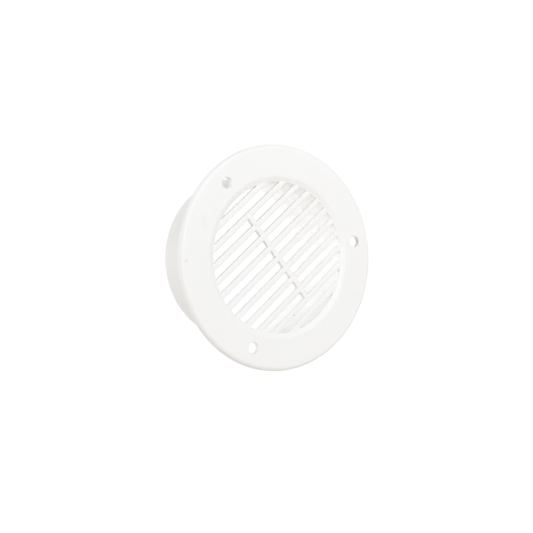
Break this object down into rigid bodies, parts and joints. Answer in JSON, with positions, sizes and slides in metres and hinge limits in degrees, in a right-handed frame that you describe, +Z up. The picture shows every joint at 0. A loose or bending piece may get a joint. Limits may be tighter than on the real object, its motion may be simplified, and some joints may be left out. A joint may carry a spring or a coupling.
{
  "type": "round louvred air vent",
  "caption": "Round white plastic air vent: a screw-on flange, a sunk grille of level bars with a stiffening rib, and a straight tube behind it for a duct or hose.",
  "frame": {"origin": "centre of the flange's back face, on the tube's axis", "axes": "+Y along the tube's axis, away from the front, +Z up with a screw hole at the top, and +X to the right along the bars"},
  "size_m": [0.102, 0.0389, 0.102],
  "materials": {
    "white_plastic": "white moulded plastic, satin"
  },
  "bodies": {
    "root": {"vent_body": "white_plastic"}
  },
  "joints": []
}
